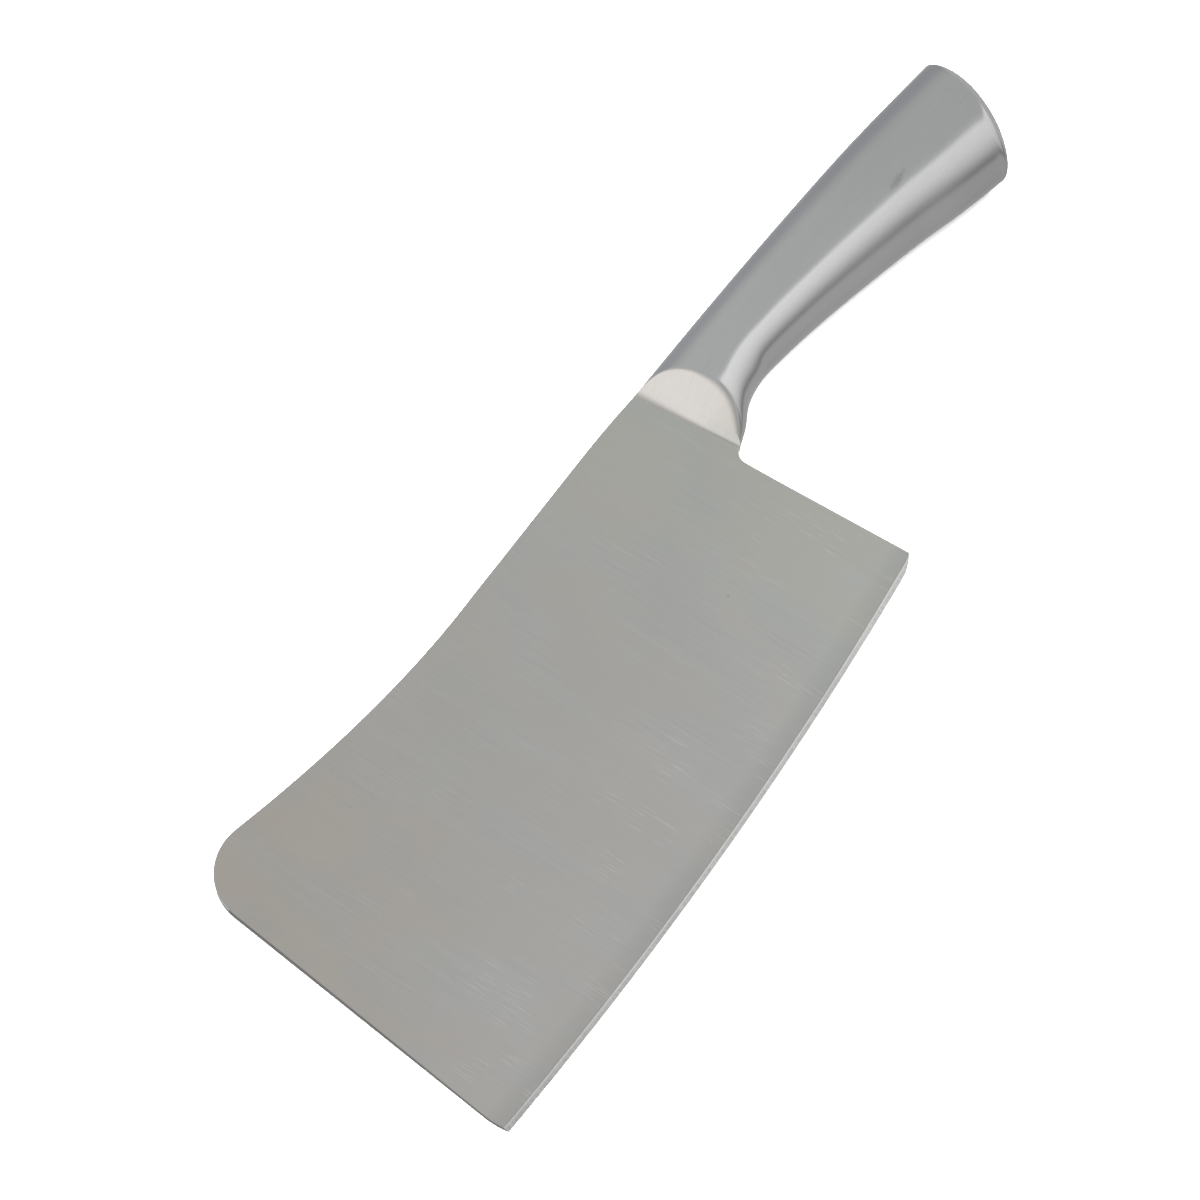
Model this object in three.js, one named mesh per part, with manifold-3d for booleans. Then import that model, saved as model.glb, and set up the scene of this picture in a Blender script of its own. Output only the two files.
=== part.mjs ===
// Meat cleaver with a tapered steel blade and a hollow, welded steel handle. Millimetres, +Z up.
//
// The pieces are made in the knife's own frame: +X runs from the toe to the butt along the chord of the
// cutting edge, +Y from the edge to the spine, +Z through the thickness, and the origin is the choil,
// where the heel line meets the bolster. At the end the knife is laid on its side on z = 0.
import * as THREE from "three";
import { mergeVertices } from "three/addons/utils/BufferGeometryUtils.js";
import Module from "manifold-3d";

const wasm = await Module();
wasm.setup();

// ---- Driving dimensions ----------------------------------------------------------------------------

const GAP = 0.3; // between pieces that touch

// Blade
const EDGE_RADIUS = 1080; // the cutting edge is one long arc
const EDGE_MID = v2(-84, -55.1); // its lowest point
const EDGE_OVERRUN = -62; // the plate's outline runs down to here before the edge is cut
const SPINE_HALF = 1.25; // half the plate's thickness at the spine
const SPINE_Y = 31;
const SHOULDER_HALF = 0.5; // and just above the bevel
const SHOULDER_Y = -53.5;
const BEVEL_ANGLE = rad(21);
const TOE_TOP_RADIUS = 14; // rounded corner where the spine meets the tip end
const CHOIL_RADIUS = 3.3;
const SHOULDERS_X = 1.73; // the plate's shoulders stop on a line from here, at y = 0,
const SHOULDERS_LEAN = rad(3.2); // leaning towards the toe as it rises

// Tang
const TANG_LOW_Y = 8;
const TANG_HIGH_Y = 24;
const TANG_END_X = 38;
const TANG_CORNER = 3;

// Bolster
const RAMP_ANGLE = rad(32.6); // the ground facet from the blade up to the handle
const RAMP_CLEAR_Z = 12; // above the handle everywhere
const WELD_FRONT = GAP; // behind the shoulders, and so are the next two
const WELD_BACK = 1.5;
const BOLSTER_FRONT = WELD_BACK + GAP;

// Handle
const WALL = 1.2; // the stamped shells
const NECK_HALF = 7.2; // half thickness from the bolster to the waist
const WAIST = 0.25; // share of the handle's length from which it thickens
const BUTT_HALF = 9.5; // half thickness at the butt
const RIDGE_SHARE = 0.5; // where across the width the handle is thickest, from belly to spine
const SECTION_POWER = 2.3; // 2 is an ellipse, and more is squarer
const NECK_RIDGE_LEAN = 0.16; // at the bolster the ridge is nearer the spine by this much,
const NECK_SPINE_POWER = 2; // and the section is an egg
const NECK_BELLY_POWER = 1.92;
const NECK_END = 0.2; // share of the handle's length where the egg has faded
const DOME_HEIGHT = 6.1; // the butt cap's bulge
const DOME_POWER = 1.95; // of its outline seen from the side of the blade
const RIM_START = 5; // how long the butt keeps its thickness before its rim rounds over
const RIM_POWER = 2.5;
const SEAM_HALF = 0.5; // half width of the weld bead along the spine and belly
const REGISTER_WALL = 1; // the sleeves that line the shells up on the bolster and the cap

// Stations along the handle, as shares of its length
const LOFT_FRONT = -0.02;
const NECK_WELD = [0.1685, 0.178];
const BUTT_WELD = [0.968, 0.977];
const FACETS_END = 0.1;
const STATION_GAP = 0.0034; // GAP, measured along the handle
const SPIGOT_BACK = 0.24;
const SKIRT_FRONT = 0.925;

// How finely the handle is faceted
const RING_POINTS = 40;
const STATION_STEP = 0.04;
const DOME_ANGLES = [16, 32, 46, 58, 68, 77, 85].map(rad);

const steel = new THREE.MeshStandardMaterial({ color: 0xa4a29e, roughness: 0.35, metalness: 1 });
const satin = new THREE.MeshStandardMaterial({ color: 0xa9abab, roughness: 0.28, metalness: 1 });
const filler = new THREE.MeshStandardMaterial({ color: 0xb0b0ae, roughness: 0.32, metalness: 1 });

// ---- Small helpers ---------------------------------------------------------------------------------

function v2(x, y) {
  return new THREE.Vector2(x, y);
}

function rad(degrees) {
  return THREE.MathUtils.degToRad(degrees);
}

function solidOf(geometry) {
  const bare = geometry.clone();
  bare.deleteAttribute("normal");
  bare.deleteAttribute("uv");
  const merged = mergeVertices(bare, 1e-4);
  return new wasm.Manifold(
    new wasm.Mesh({
      numProp: 3,
      vertProperties: merged.attributes.position.array,
      triVerts: new Uint32Array(merged.index.array),
    }),
  );
}

function geometryOf(solid) {
  const mesh = solid.getMesh();
  const geometry = new THREE.BufferGeometry();
  geometry.setAttribute("position", new THREE.BufferAttribute(mesh.vertProperties, 3));
  geometry.setIndex(new THREE.BufferAttribute(mesh.triVerts, 1));
  geometry.computeVertexNormals();
  return geometry;
}

function box(low, high) {
  const size = new THREE.Vector3().subVectors(high, low);
  const geometry = new THREE.BoxGeometry(size.x, size.y, size.z);
  geometry.translate((low.x + high.x) / 2, (low.y + high.y) / 2, (low.z + high.z) / 2);
  return solidOf(geometry);
}

// Everything between two heights. The slab is wider than the knife.
function slab(lowZ, highZ) {
  return box(new THREE.Vector3(-300, -300, lowZ), new THREE.Vector3(300, 300, highZ));
}

// A prism of a shape drawn in XY, centred on z = 0.
function prismZ(shape, depth, curveSegments = 12) {
  const geometry = new THREE.ExtrudeGeometry(shape, { depth, bevelEnabled: false, curveSegments });
  geometry.translate(0, 0, -depth / 2);
  return solidOf(geometry);
}

// A prism along X of a shape drawn with its first axis along Y and its second along Z.
function prismX(shape, fromX, toX) {
  const geometry = new THREE.ExtrudeGeometry(shape, { depth: toX - fromX, bevelEnabled: false });
  geometry.rotateY(Math.PI / 2);
  geometry.rotateX(Math.PI / 2);
  geometry.translate(fromX, 0, 0);
  return solidOf(geometry);
}

// A prism along Y of a shape drawn with its first axis along X and its second along Z.
function prismY(shape, fromY, toY) {
  const geometry = new THREE.ExtrudeGeometry(shape, { depth: toY - fromY, bevelEnabled: false });
  geometry.rotateX(Math.PI / 2);
  geometry.translate(0, toY, 0);
  return solidOf(geometry);
}

// Goes on to where a corner's rounding begins, and round it, towards the next point.
function roundCorner(path, before, corner, after, radius) {
  const inward = before.clone().sub(corner).normalize();
  const outward = after.clone().sub(corner).normalize();
  const half = Math.acos(inward.dot(outward)) / 2;
  const middle = inward.clone().add(outward).normalize();
  const centre = corner.clone().addScaledVector(middle, radius / Math.sin(half));
  const start = corner.clone().addScaledVector(inward, radius / Math.tan(half)).sub(centre);
  const end = corner.clone().addScaledVector(outward, radius / Math.tan(half)).sub(centre);
  path.absarc(centre.x, centre.y, radius, start.angle(), end.angle(), start.cross(end) < 0);
}

function ease(x) {
  return THREE.MathUtils.smoothstep(x, 0, 1);
}

// ---- Blade -----------------------------------------------------------------------------------------

function onShoulders(y) {
  return v2(SHOULDERS_X - y * Math.tan(SHOULDERS_LEAN), y);
}

function bladeOutline() {
  const spineFlare = v2(-149.4, 44); // the end of the spine's upward sweep
  const toeTop = v2(-167, 48.6); // where spine and tip end would meet without their rounding
  const toe = v2(-177.5, EDGE_OVERRUN);
  const heel = v2(-5.6, EDGE_OVERRUN);
  const heelCorner = v2(0.05, -50.1);
  const heelLow = v2(-0.1, -47.5);
  const choil = v2(-2.1, -0.5);
  const bellyStart = onShoulders(0.3);
  const tangRootLow = onShoulders(TANG_LOW_Y);
  const tangEndLow = v2(TANG_END_X, TANG_LOW_Y);
  const tangEndHigh = v2(TANG_END_X, TANG_HIGH_Y);
  const tangRootHigh = onShoulders(TANG_HIGH_Y);
  const spineEnd = onShoulders(29.6);
  const outline = new THREE.Shape();
  outline.moveTo(spineEnd.x, spineEnd.y);
  outline.quadraticCurveTo(-10, 30.8, -25, 31.2);
  outline.lineTo(-70, 32.35);
  outline.quadraticCurveTo(-106, 32.6, spineFlare.x, spineFlare.y);
  roundCorner(outline, spineFlare, toeTop, toe, TOE_TOP_RADIUS);
  outline.lineTo(toe.x, toe.y);
  outline.lineTo(heel.x, heel.y);
  outline.lineTo(heel.x, -52.35);
  outline.quadraticCurveTo(-2, -51.45, heelCorner.x, heelCorner.y);
  outline.lineTo(heelLow.x, heelLow.y);
  roundCorner(outline, heelLow, choil, bellyStart, CHOIL_RADIUS);
  outline.lineTo(bellyStart.x, bellyStart.y);
  outline.lineTo(tangRootLow.x, tangRootLow.y);
  roundCorner(outline, tangRootLow, tangEndLow, tangEndHigh, TANG_CORNER);
  roundCorner(outline, tangEndLow, tangEndHigh, tangRootHigh, TANG_CORNER);
  outline.lineTo(tangRootHigh.x, tangRootHigh.y);
  outline.closePath();
  return outline;
}

// Half the plate's thickness at a height y. The sides are flat, and close in on the edge.
function plateHalf(y) {
  const slope = (SPINE_HALF - SHOULDER_HALF) / (SPINE_Y - SHOULDER_Y);
  return SHOULDER_HALF + slope * (y - SHOULDER_Y);
}

function taper() {
  const low = EDGE_OVERRUN - 2;
  const high = SPINE_Y + 22;
  const section = new THREE.Shape([
    v2(low, -plateHalf(low)),
    v2(high, -plateHalf(high)),
    v2(high, plateHalf(high)),
    v2(low, plateHalf(low)),
  ]);
  return prismX(section, -200, 60);
}

// A great disc whose sharp rim is the cutting edge, with the two bevels as its cones.
function bevelDisc() {
  const halfDepth = 4;
  const flatRadius = EDGE_RADIUS - halfDepth / Math.tan(BEVEL_ANGLE);
  const profile = [v2(0, -halfDepth), v2(flatRadius, -halfDepth), v2(EDGE_RADIUS, 0), v2(flatRadius, halfDepth)];
  profile.push(v2(0, halfDepth));
  const geometry = new THREE.LatheGeometry(profile, 720);
  geometry.rotateX(Math.PI / 2);
  geometry.translate(EDGE_MID.x, EDGE_MID.y + EDGE_RADIUS, 0);
  return solidOf(geometry);
}

function blade() {
  return prismZ(bladeOutline(), 8, 20).intersect(taper()).intersect(bevelDisc());
}

// ---- Handle surface --------------------------------------------------------------------------------

const spineSide = new THREE.SplineCurve([
  v2(0, 29.9),
  v2(30, 28.4),
  v2(60, 26.5),
  v2(90, 24),
  v2(120.2, 20.2),
]);
const bellySide = new THREE.SplineCurve([
  v2(0, -0.1),
  v2(6.4, 2),
  v2(12.75, 5),
  v2(19.1, 6.1),
  v2(25.6, 5.7),
  v2(38.8, 3.4),
  v2(51.8, 0.5),
  v2(64.8, -2.8),
  v2(77.8, -6.3),
  v2(90.8, -10.35),
  v2(103.9, -13.85),
]);

// Half thickness at a share of the handle's length.
function halfThickness(share) {
  return THREE.MathUtils.lerp(NECK_HALF, BUTT_HALF, ease((share - WAIST) / (1 - WAIST)));
}

// A side's point, carried on straight past either end.
function sidePoint(curve, share) {
  const inside = THREE.MathUtils.clamp(share, 0, 1);
  const slope = curve.getTangent(inside).multiplyScalar((share - inside) * curve.getLength());
  return curve.getPoint(inside).add(slope);
}

// One closed ring round the handle, inset from the outer surface. dome goes from 0 at the rim to a
// right angle at the middle of the butt.
function ring(share, inset, dome = 0) {
  const spine = sidePoint(spineSide, share);
  const belly = sidePoint(bellySide, share);
  const across = spine.clone().sub(belly);
  const width = across.length();
  across.normalize();
  const outwards = v2(across.y, -across.x); // square to the section, towards the butt
  const neck = 1 - ease(share / NECK_END);
  const ridge = width * (RIDGE_SHARE + NECK_RIDGE_LEAN * neck);
  const shrink = Math.cos(dome) ** (2 / DOME_POWER);
  const along = Math.sin(dome) ** (2 / DOME_POWER);
  const rim = (1 - along ** RIM_START) ** (1 / RIM_POWER);
  const points = [];
  for (let i = 0; i < RING_POINTS; i++) {
    const angle = (2 * Math.PI * (i + 0.5)) / RING_POINTS;
    const c = Math.cos(angle);
    const s = Math.sin(angle);
    const reach = (c > 0 ? width - ridge : ridge) - inset;
    const power = THREE.MathUtils.lerp(SECTION_POWER, c > 0 ? NECK_SPINE_POWER : NECK_BELLY_POWER, neck);
    const y = ridge + reach * Math.sign(c) * Math.abs(c) ** (2 / power) * shrink;
    const z = (halfThickness(share) - inset) * Math.sign(s) * Math.abs(s) ** (2 / power) * rim;
    const flat = belly.clone().addScaledVector(across, y).addScaledVector(outwards, (DOME_HEIGHT - inset) * along);
    points.push(new THREE.Vector3(flat.x, flat.y, z));
  }
  return points;
}

// A closed solid through rings of equal count, with a fan over each end.
function loft(rings) {
  const count = rings[0].length;
  const positions = rings.flat().flatMap((p) => [p.x, p.y, p.z]);
  const index = [];
  const first = (r) => r * count;
  for (let r = 0; r + 1 < rings.length; r++) {
    for (let i = 0; i < count; i++) {
      const j = (i + 1) % count;
      const [a, b, c, d] = [first(r) + i, first(r) + j, first(r + 1) + j, first(r + 1) + i];
      index.push(a, b, c, a, c, d);
    }
  }
  [0, rings.length - 1].forEach((r) => {
    const middle = rings[r].reduce((sum, p) => sum.add(p), new THREE.Vector3()).divideScalar(count);
    const hub = positions.length / 3;
    positions.push(middle.x, middle.y, middle.z);
    for (let i = 0; i < count; i++) {
      const [a, b] = [first(r) + i, first(r) + ((i + 1) % count)];
      index.push(...(r === 0 ? [hub, b, a] : [hub, a, b]));
    }
  });
  const geometry = new THREE.BufferGeometry();
  geometry.setAttribute("position", new THREE.Float32BufferAttribute(positions, 3));
  geometry.setIndex(index);
  return solidOf(geometry);
}

// The solid inside the handle's surface, inset from it, between two stations.
function core(from, to, inset = 0) {
  const steps = Math.max(1, Math.round((to - from) / STATION_STEP));
  const rings = Array.from({ length: steps + 1 }, (_, k) => ring(from + ((to - from) * k) / steps, inset));
  return loft(rings);
}

// The same, closed by the dome of the butt.
function domedCore(from, inset) {
  return loft([ring(from, inset), ring(1, inset), ...DOME_ANGLES.map((angle) => ring(1, inset, angle))]);
}

// The handle's wall between two stations.
function wall(from, to, outerInset = 0, innerInset = WALL) {
  const past = 0.02;
  return core(from, to, outerInset).subtract(core(from - past, to + past, innerInset));
}

// ---- Bolster and its weld --------------------------------------------------------------------------

// What the ground facets leave, from a distance behind the shoulders to the next one back.
function betweenFacets(front, back) {
  const half = (x) => SPINE_HALF + x * Math.tan(RAMP_ANGLE);
  const topX = (RAMP_CLEAR_Z - SPINE_HALF) / Math.tan(RAMP_ANGLE);
  const upper = [v2(front, half(front))];
  if (back > topX) upper.push(v2(topX, RAMP_CLEAR_Z), v2(back, RAMP_CLEAR_Z));
  else upper.push(v2(back, half(back)));
  const lower = upper.map((p) => v2(p.x, -p.y)).reverse();
  const wedge = prismY(new THREE.Shape([...lower, ...upper]), -40, 60);
  return wedge.rotate([0, 0, THREE.MathUtils.radToDeg(SHOULDERS_LEAN)]).translate([SHOULDERS_X, 0, 0]);
}

function tangSlot() {
  const half = plateHalf(TANG_HIGH_Y) + GAP;
  return box(new THREE.Vector3(-1, TANG_LOW_Y - GAP, -half), new THREE.Vector3(60, TANG_HIGH_Y + GAP, half));
}

function bladeWeld() {
  return core(LOFT_FRONT, 0.1).intersect(betweenFacets(WELD_FRONT, WELD_BACK)).subtract(tangSlot());
}

function bolster() {
  const body = core(LOFT_FRONT, NECK_WELD[0] - STATION_GAP).intersect(betweenFacets(BOLSTER_FRONT, 60));
  const spigot = core(NECK_WELD[0] - 0.03, SPIGOT_BACK, WALL + GAP);
  return body.add(spigot).subtract(tangSlot());
}

// ---- Shells, seams and butt ------------------------------------------------------------------------

const SHELL_SPAN = [NECK_WELD[1] + STATION_GAP, BUTT_WELD[0] - STATION_GAP];

function shell(side) {
  const shells = wall(...SHELL_SPAN);
  const split = SEAM_HALF + GAP;
  return side > 0 ? shells.intersect(slab(split, 30)) : shells.intersect(slab(-30, -split));
}

// The bead between the shells' edges, along the spine (+1) or the belly (-1).
function seamWeld(side) {
  const strips = wall(...SHELL_SPAN).intersect(slab(-SEAM_HALF, SEAM_HALF)).decompose();
  strips.sort((a, b) => side * (b.boundingBox().max[1] - a.boundingBox().max[1]));
  return strips[0];
}

function buttCap() {
  const front = BUTT_WELD[1] + STATION_GAP;
  const skirt = core(SKIRT_FRONT, 0.995, WALL + GAP);
  const hollow = domedCore(SKIRT_FRONT - 0.02, WALL + GAP + REGISTER_WALL);
  return domedCore(front, 0).add(skirt).subtract(hollow);
}

// ---- Assembly --------------------------------------------------------------------------------------

const knife = new THREE.Group();

function addPiece(name, solid, material) {
  const mesh = new THREE.Mesh(geometryOf(solid), material);
  mesh.name = name;
  knife.add(mesh);
}

addPiece("blade", blade(), steel);
addPiece("blade_weld", bladeWeld(), filler);
addPiece("bolster", bolster(), satin);
addPiece("neck_weld", wall(...NECK_WELD), filler);
addPiece("handle_shell_left", shell(1), satin);
addPiece("handle_shell_right", shell(-1), satin);
addPiece("spine_seam_weld", seamWeld(1), filler);
addPiece("belly_seam_weld", seamWeld(-1), filler);
addPiece("butt_weld", wall(...BUTT_WELD), filler);
addPiece("butt_cap", buttCap(), satin);

// Lying on its side, the knife rests on the underside of the handle and on the tip end of the blade.
const tipEndX = -168.6;
let lieAngle = 0;
for (let share = FACETS_END; share <= 1; share += 0.02) {
  const x = sidePoint(spineSide, share).lerp(sidePoint(bellySide, share), 1 - RIDGE_SHARE).x;
  lieAngle = Math.max(lieAngle, Math.atan2(halfThickness(share) - SPINE_HALF, x - tipEndX));
}
knife.rotation.y = -lieAngle;

const cleaver = new THREE.Group();
cleaver.add(knife);
const extent = new THREE.Box3().setFromObject(cleaver, true);
const middle = extent.getCenter(new THREE.Vector3());
knife.position.set(-middle.x, -middle.y, -extent.min.z);

export default cleaver;
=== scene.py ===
"""Meat cleaver of satin steel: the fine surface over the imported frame.
"""
import math
import bpy
import numpy as np
from mathutils import Matrix, Vector


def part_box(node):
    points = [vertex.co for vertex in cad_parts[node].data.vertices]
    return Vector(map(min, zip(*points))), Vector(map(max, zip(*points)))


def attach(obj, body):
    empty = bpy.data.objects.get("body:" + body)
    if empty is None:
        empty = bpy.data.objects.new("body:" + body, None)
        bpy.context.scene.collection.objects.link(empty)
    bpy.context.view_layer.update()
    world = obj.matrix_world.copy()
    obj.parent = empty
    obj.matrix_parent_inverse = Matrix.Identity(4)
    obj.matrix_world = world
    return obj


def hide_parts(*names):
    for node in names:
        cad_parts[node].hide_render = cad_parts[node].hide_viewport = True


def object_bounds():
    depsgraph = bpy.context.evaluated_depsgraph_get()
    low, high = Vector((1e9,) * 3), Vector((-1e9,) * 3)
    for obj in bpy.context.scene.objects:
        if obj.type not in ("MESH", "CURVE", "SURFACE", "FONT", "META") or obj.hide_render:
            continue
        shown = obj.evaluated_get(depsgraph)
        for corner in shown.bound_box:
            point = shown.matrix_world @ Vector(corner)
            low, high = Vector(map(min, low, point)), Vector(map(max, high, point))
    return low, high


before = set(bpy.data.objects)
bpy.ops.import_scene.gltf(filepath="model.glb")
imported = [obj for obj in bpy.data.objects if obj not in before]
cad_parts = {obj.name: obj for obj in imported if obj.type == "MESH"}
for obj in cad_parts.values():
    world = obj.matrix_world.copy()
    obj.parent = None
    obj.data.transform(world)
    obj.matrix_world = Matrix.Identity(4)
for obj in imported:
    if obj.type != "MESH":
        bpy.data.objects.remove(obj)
CAD_LOW, CAD_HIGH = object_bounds()

# ---- The knife's dimensions, the same as in the CAD ---------------------------------------------------

EDGE_RADIUS = 1080.0
EDGE_MID = np.array([-84.0, -55.1])
SPINE_HALF, SPINE_Y = 1.25, 31.0
SHOULDER_HALF, SHOULDER_Y = 0.5, -53.5
BEVEL = math.tan(math.radians(21))
TOE_TOP_RADIUS, CHOIL_RADIUS = 14.0, 3.3
SHOULDERS_X, SHOULDERS_LEAN = 1.73, math.radians(3.2)
RAMP = math.tan(math.radians(32.6))
NECK_HALF, BUTT_HALF, WAIST = 7.2, 9.5, 0.25
SECTION_POWER, NECK_SPINE_POWER, NECK_BELLY_POWER = 2.3, 2.0, 1.92
RIDGE_SHARE, NECK_RIDGE_LEAN, NECK_END = 0.5, 0.16, 0.2
DOME_HEIGHT, DOME_POWER, RIM_START, RIM_POWER = 6.1, 1.95, 5.0, 2.5
WALL, REGISTER_WALL = 1.2, 1.0
SEAM_HALF = 0.65
NECK_WELD, BUTT_WELD = (0.1668, 0.1797), (0.9663, 0.9787)
WELD_FRONT = np.array([-1.1, -2.7])  # at the belly and at the spine
WELD_BACK = 1.65
FILLET_REACH = (0.6, 2.5)  # at the belly and at the spine
POLISH_REACH, POLISH_POWER = 1.4, 0.6  # how far the facet's polish runs down over the fillet
FACETS_END = 0.1

SPINE_SIDE = np.array([(0, 29.9), (30, 28.4), (60, 26.5), (90, 24), (120.2, 20.2)], float)
BELLY_SIDE = np.array([(0, -0.1), (6.4, 2), (12.75, 5), (19.1, 6.1), (25.6, 5.7), (38.8, 3.4), (51.8, 0.5),
                       (64.8, -2.8), (77.8, -6.3), (90.8, -10.35), (103.9, -13.85)], float)
TIP_END_X = -168.6


def ease(x):
    x = np.clip(x, 0, 1)
    return x * x * (3 - 2 * x)


def plate_half(y):
    return SHOULDER_HALF + (SPINE_HALF - SHOULDER_HALF) / (SPINE_Y - SHOULDER_Y) * (y - SHOULDER_Y)


# ---- Handle surface -----------------------------------------------------------------------------------

def spline(points, t):
    """Catmull-Rom spline with its ends doubled."""
    last = len(points) - 1
    place = np.clip(t, 0, 1) * last
    i = np.minimum(np.floor(place).astype(int), last - 1)
    w = (place - i)[..., None]
    p0, p1 = points[np.maximum(i - 1, 0)], points[i]
    p2, p3 = points[i + 1], points[np.minimum(i + 2, last)]
    v0, v1 = (p2 - p0) / 2, (p3 - p1) / 2
    return (2 * p1 - 2 * p2 + v0 + v1) * w**3 + (3 * p2 - 3 * p1 - 2 * v0 - v1) * w**2 + v0 * w + p1


def curve_length(points):
    return np.linalg.norm(np.diff(spline(points, np.linspace(0, 1, 1001)), axis=0), axis=1).sum()


LENGTHS = {id(c): curve_length(c) for c in (SPINE_SIDE, BELLY_SIDE)}


def side_point(points, share):
    """A side's point, carried on straight past either end."""
    inside = np.clip(share, 0, 1)
    tangent = spline(points, np.clip(inside + 1e-4, 0, 1)) - spline(points, np.clip(inside - 1e-4, 0, 1))
    tangent /= np.linalg.norm(tangent, axis=-1, keepdims=True)
    return spline(points, inside) + tangent * ((share - inside) * LENGTHS[id(points)])[..., None]


def half_thickness(share):
    return NECK_HALF + (BUTT_HALF - NECK_HALF) * ease((share - WAIST) / (1 - WAIST))


def handle_point(share, theta, inset=0.0, dome=0.0):
    """Points of the handle's surface. theta goes round it from the spine over the top side to the belly, and
    dome goes from 0 at the butt's rim to a right angle at its middle."""
    share, theta, dome = np.broadcast_arrays(np.asarray(share, float), theta, dome)
    spine, belly = side_point(SPINE_SIDE, share), side_point(BELLY_SIDE, share)
    across = spine - belly
    width = np.linalg.norm(across, axis=-1)
    across = across / width[..., None]
    outwards = np.stack([across[..., 1], -across[..., 0]], -1)
    neck = 1 - ease(share / NECK_END)
    ridge = width * (RIDGE_SHARE + NECK_RIDGE_LEAN * neck)
    c, s = np.cos(theta), np.sin(theta)
    power = SECTION_POWER + (np.where(c > 0, NECK_SPINE_POWER, NECK_BELLY_POWER) - SECTION_POWER) * neck
    r = (np.abs(c) ** power + np.abs(s) ** power) ** (-1 / power)
    shrink = np.cos(dome) ** (2 / DOME_POWER)
    beyond = np.sin(dome) ** (2 / DOME_POWER)
    rim = (1 - beyond**RIM_START) ** (1 / RIM_POWER)
    y = ridge + (np.where(c > 0, width - ridge, ridge) - inset) * r * c * shrink
    z = (half_thickness(share) - inset) * r * s * rim
    flat = belly + across * y[..., None] + outwards * ((DOME_HEIGHT - inset) * beyond)[..., None]
    return np.concatenate([flat, z[..., None]], -1)


def unit(v):
    return v / np.maximum(np.linalg.norm(v, axis=-1, keepdims=True), 1e-12)


def handle_normal(share, theta, dome=0.0):
    """The outward normal, from small steps either way."""
    share, theta, dome = np.broadcast_arrays(np.asarray(share, float), theta, dome)
    step = 1e-3
    round_it = handle_point(share, theta + step, 0, dome) - handle_point(share, theta - step, 0, dome)
    up = np.clip(dome + step, 0, math.pi / 2)
    down = np.clip(dome - step, 0, math.pi / 2)
    along_dome = handle_point(share, theta, 0, up) - handle_point(share, theta, 0, down)
    along = handle_point(share + step, theta) - handle_point(share - step, theta)
    return unit(np.cross(round_it, np.where((dome > 0)[..., None], along_dome, along)))


# ---- The bolster's own frame: x behind the shoulders, y up along them --------------------------------------

LEAN_COS, LEAN_SIN = math.cos(SHOULDERS_LEAN), math.sin(SHOULDERS_LEAN)


def behind(p):
    return (p[..., 0] - SHOULDERS_X) * LEAN_COS + p[..., 1] * LEAN_SIN


def along_shoulders(p):
    return -(p[..., 0] - SHOULDERS_X) * LEAN_SIN + p[..., 1] * LEAN_COS


def facet_height(x, y):
    """Height and slope of the blade's side, the fillet and the ground facet."""
    base = plate_half(y)
    corner = (base - SPINE_HALF) / RAMP
    reach = FILLET_REACH[0] + (FILLET_REACH[1] - FILLET_REACH[0]) * np.clip(y / 30, 0, 1)
    t = np.clip((x - corner + reach) / (2 * reach), 0, 1)
    rise = np.where(x > corner + reach, RAMP * (x - corner), RAMP * reach * t * t)
    return base + rise, RAMP * t


def share_where(theta, target):
    """The share at which a line along the handle reaches a value of target(point), which rises along it."""
    low, high = np.full_like(theta, -0.06), np.full_like(theta, 0.3)
    for _ in range(40):
        middle = (low + high) / 2
        below = target(handle_point(middle, theta)) < 0
        low, high = np.where(below, middle, low), np.where(below, high, middle)
    return (low + high) / 2


def reaches(x):
    return lambda p: behind(p) - x


def over_facet(p):
    return facet_height(behind(p), p[..., 1])[0] - np.abs(p[..., 2])


# ---- Mesh building ---------------------------------------------------------------------------------------

SHARP_COSINE = 0.9995  # two faces' normals at a corner differ if their dot product is below this
SAME_POINT = 1e-5


def mark_sharp(mesh, normals):
    """Marks the edges whose two faces have different normals at a shared corner."""
    count = len(mesh.loops)
    edge, corner = np.empty(count, int), np.empty(count, int)
    start, total = np.empty(len(mesh.polygons), int), np.empty(len(mesh.polygons), int)
    mesh.loops.foreach_get("edge_index", edge)
    mesh.loops.foreach_get("vertex_index", corner)
    mesh.polygons.foreach_get("loop_start", start)
    mesh.polygons.foreach_get("loop_total", total)
    after = np.arange(count) + 1
    after[start + total - 1] = start
    swap = corner > corner[after]
    first, second = np.where(swap, after, np.arange(count)), np.where(swap, np.arange(count), after)
    order = np.argsort(edge, kind="stable")
    same = np.nonzero(edge[order][1:] == edge[order][:-1])[0]
    a, b = order[same], order[same + 1]
    at_first = (normals[first[a]] * normals[first[b]]).sum(1)
    at_second = (normals[second[a]] * normals[second[b]]).sum(1)
    sharp = np.zeros(len(mesh.edges), bool)
    sharp[edge[a[np.minimum(at_first, at_second) < SHARP_COSINE]]] = True
    mesh.edges.foreach_set("use_edge_sharp", sharp)


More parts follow.
